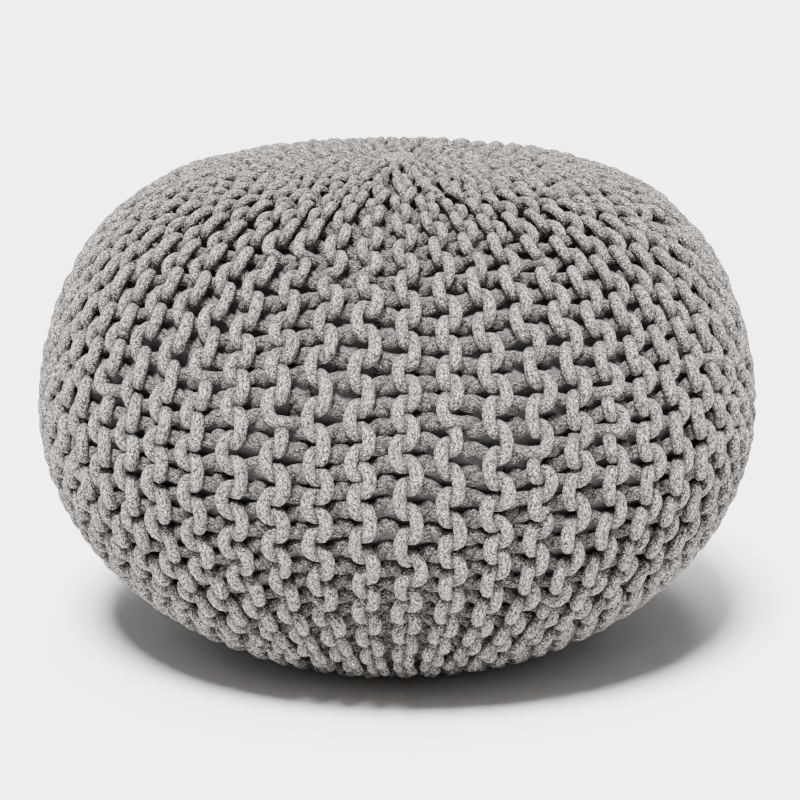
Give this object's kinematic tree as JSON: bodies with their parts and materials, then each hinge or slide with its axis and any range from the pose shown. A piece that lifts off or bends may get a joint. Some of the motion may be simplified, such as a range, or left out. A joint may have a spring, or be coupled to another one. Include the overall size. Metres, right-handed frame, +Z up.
{
  "type": "knitted pouf",
  "caption": "Round floor pouf with a garter-stitch cover of thick cotton cord, its ridges running from pole to pole, over a filled lining bag.",
  "frame": {"origin": "middle of the flat face that the pouf rests on", "axes": "+Z up through the drawn-up crown; -Y is the front"},
  "size_m": [0.499, 0.4966, 0.3454],
  "materials": {
    "cotton_cord": "melange grey cotton cord, matt and slightly fuzzy",
    "lining_cloth": "plain woven cloth, matt"
  },
  "bodies": {
    "root": {"knit_cover": "cotton_cord", "gather_cord": "cotton_cord", "lining_bag": "lining_cloth"}
  },
  "joints": []
}
